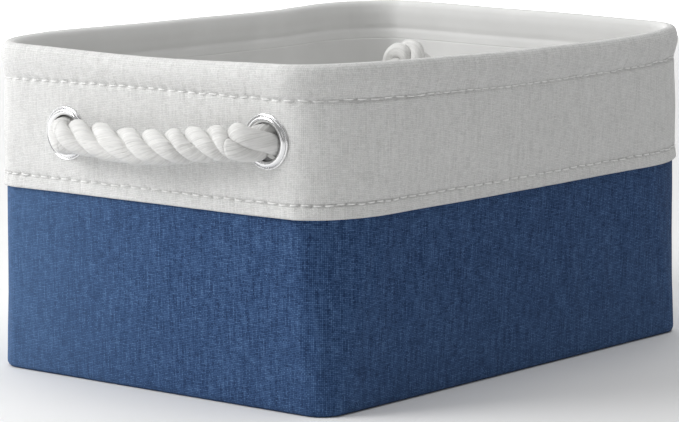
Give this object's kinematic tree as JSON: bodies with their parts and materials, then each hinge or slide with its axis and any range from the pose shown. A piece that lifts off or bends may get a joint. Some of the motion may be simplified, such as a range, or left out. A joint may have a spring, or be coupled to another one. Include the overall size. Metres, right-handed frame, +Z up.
{
  "type": "fabric storage bin",
  "caption": "Open rectangular canvas storage bin with rounded corners, a contrasting folded cuff, metal eyelets and twisted rope handles on its short ends.",
  "frame": {"origin": "centre of the underside, on the surface that the bin stands on", "axes": "+X along the long side (the rope handles are on the -X and +X ends), +Y towards the rear long side, +Z up"},
  "size_m": [0.3684, 0.2496, 0.17],
  "materials": {
    "blue_canvas": "matt linen-weave canvas with lighter slub yarns",
    "white_canvas": "matt plain-weave canvas",
    "lining": "smooth coated lining",
    "felt": "stiff needle felt",
    "board": "pressed board",
    "steel_wire": "drawn steel wire",
    "eyelet_metal": "polished nickel plate",
    "rope": "soft three-strand cotton rope",
    "thread": "twisted sewing thread"
  },
  "bodies": {
    "base": {"base_fabric": "blue_canvas", "base_board": "board", "floor_lining": "lining", "body_fabric": "blue_canvas", "wall_padding": "felt", "wall_lining": "lining"},
    "cuff": {"cuff_band": "white_canvas", "cuff_padding": "felt", "cuff_lining": "lining", "rim_wire": "steel_wire", "rim_wire_sleeve": "steel_wire", "hem_stitching": "thread", "cuff_stitching": "thread", "left_front_eyelet": "eyelet_metal", "left_front_eyelet_washer": "eyelet_metal", "left_rear_eyelet": "eyelet_metal", "left_rear_eyelet_washer": "eyelet_metal", "right_front_eyelet": "eyelet_metal", "right_front_eyelet_washer": "eyelet_metal", "right_rear_eyelet": "eyelet_metal", "right_rear_eyelet_washer": "eyelet_metal"},
    "left_handle_ends": {"left_front_rope_leg": "rope", "left_front_knot": "rope", "left_front_rope_tail": "rope", "left_front_whipping": "thread", "left_rear_rope_leg": "rope", "left_rear_knot": "rope", "left_rear_rope_tail": "rope", "left_rear_whipping": "thread"},
    "left_handle_arch": {"left_rope_arch": "rope"},
    "right_handle_ends": {"right_front_rope_leg": "rope", "right_front_knot": "rope", "right_front_rope_tail": "rope", "right_front_whipping": "thread", "right_rear_rope_leg": "rope", "right_rear_knot": "rope", "right_rear_rope_tail": "rope", "right_rear_whipping": "thread"},
    "right_handle_arch": {"right_rope_arch": "rope"}
  },
  "joints": [
    {"name": "rim_drop", "type": "slide", "parent": "base", "child": "cuff", "axis": [0, 0, -1], "range_m": [0, 0.062], "deforming": ["body_fabric", "wall_padding", "wall_lining"]},
    {"name": "left_handle_pull", "type": "slide", "parent": "cuff", "child": "left_handle_ends", "axis": [-0.9996, 0, -0.0294], "range_m": [0, 0.018]},
    {"name": "left_handle_swing", "type": "hinge", "parent": "left_handle_ends", "child": "left_handle_arch", "pos_m": [-0.17103, -0.013, 0.12987], "axis": [0.0013, 0.999, -0.0451], "range_deg": [0, 120]},
    {"name": "right_handle_pull", "type": "slide", "parent": "cuff", "child": "right_handle_ends", "axis": [0.9996, 0, -0.0294], "range_m": [0, 0.018]},
    {"name": "right_handle_swing", "type": "hinge", "parent": "right_handle_ends", "child": "right_handle_arch", "pos_m": [0.17103, -0.013, 0.12987], "axis": [0.0013, -0.999, 0.0451], "range_deg": [0, 120]}
  ]
}
